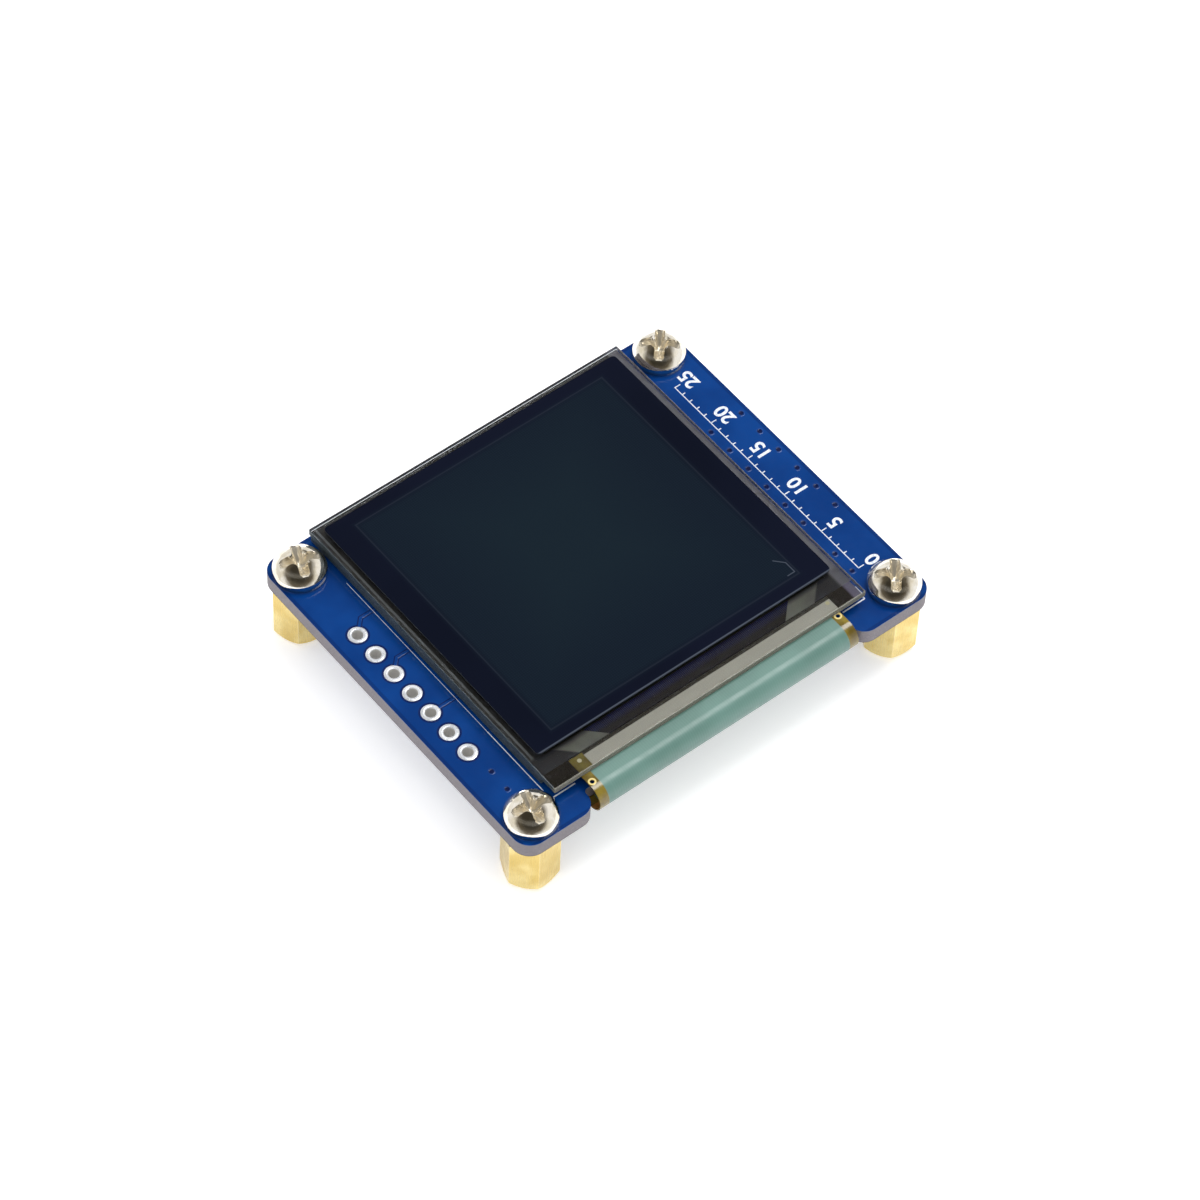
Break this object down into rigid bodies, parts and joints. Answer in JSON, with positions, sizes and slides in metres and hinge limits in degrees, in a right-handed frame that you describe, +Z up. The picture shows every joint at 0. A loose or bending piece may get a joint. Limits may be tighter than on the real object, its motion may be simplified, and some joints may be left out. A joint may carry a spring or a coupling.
{
  "type": "small square display module",
  "caption": "Square glass display panel on a circuit board with screwed standoffs, a bent flexible film at the front and a row of plated holes at the side.",
  "frame": {"origin": "centre of the four standoffs' lower ends, on the surface that they stand on", "axes": "+Z up, out of the display's face; -X towards the row of plated holes; -Y towards the bent film"},
  "size_m": [0.0446, 0.037, 0.0096],
  "materials": {
    "solder_mask": "glossy blue solder mask over woven glass and resin",
    "tin": "bright tin",
    "brass": "turned, satin",
    "nickel": "bright nickel plate",
    "tape": "foam tape, matt",
    "cover_glass": "clear, cut edges",
    "seal": "cured seal",
    "emitter": "thin dark layers",
    "display_glass": "clear, cut edges",
    "polarizer": "smooth, near black",
    "film": "green cover coat over amber film",
    "adhesive": "tacky strip",
    "silicon": "polished die back",
    "moulding": "fine matt moulding",
    "ferrite": "sintered, matt",
    "copper": "enamelled copper wire",
    "capacitor": "tan ceramic with tinned ends",
    "resistor": "black coat on white ceramic with tinned ends"
  },
  "bodies": {
    "root": {"circuit_board": "solder_mask", "tail_joints": "tin", "regulator_leads": "tin", "converter_leads": "tin", "diode_leads": "tin", "standoff_front_left": "brass", "standoff_front_right": "brass", "standoff_back_left": "brass", "standoff_back_right": "brass", "screw_front_left": "nickel", "screw_front_right": "nickel", "screw_back_left": "nickel", "screw_back_right": "nickel", "mounting_tape": "tape", "cover_glass": "cover_glass", "edge_seal": "seal", "emitter_layer": "emitter", "display_glass": "display_glass", "polarizer": "polarizer", "display_film": "film", "film_adhesive": "adhesive", "driver_chip": "silicon", "regulator_body": "moulding", "converter_body": "moulding", "diode_body": "moulding", "inductor_shield": "ferrite", "inductor_drum": "ferrite", "inductor_winding": "copper", "capacitor_1": "capacitor", "capacitor_2": "capacitor", "capacitor_3": "capacitor", "capacitor_4": "capacitor", "capacitor_5": "capacitor", "capacitor_6": "capacitor", "resistor_1": "resistor", "resistor_2": "resistor", "resistor_3": "resistor", "resistor_4": "resistor"}
  },
  "joints": []
}
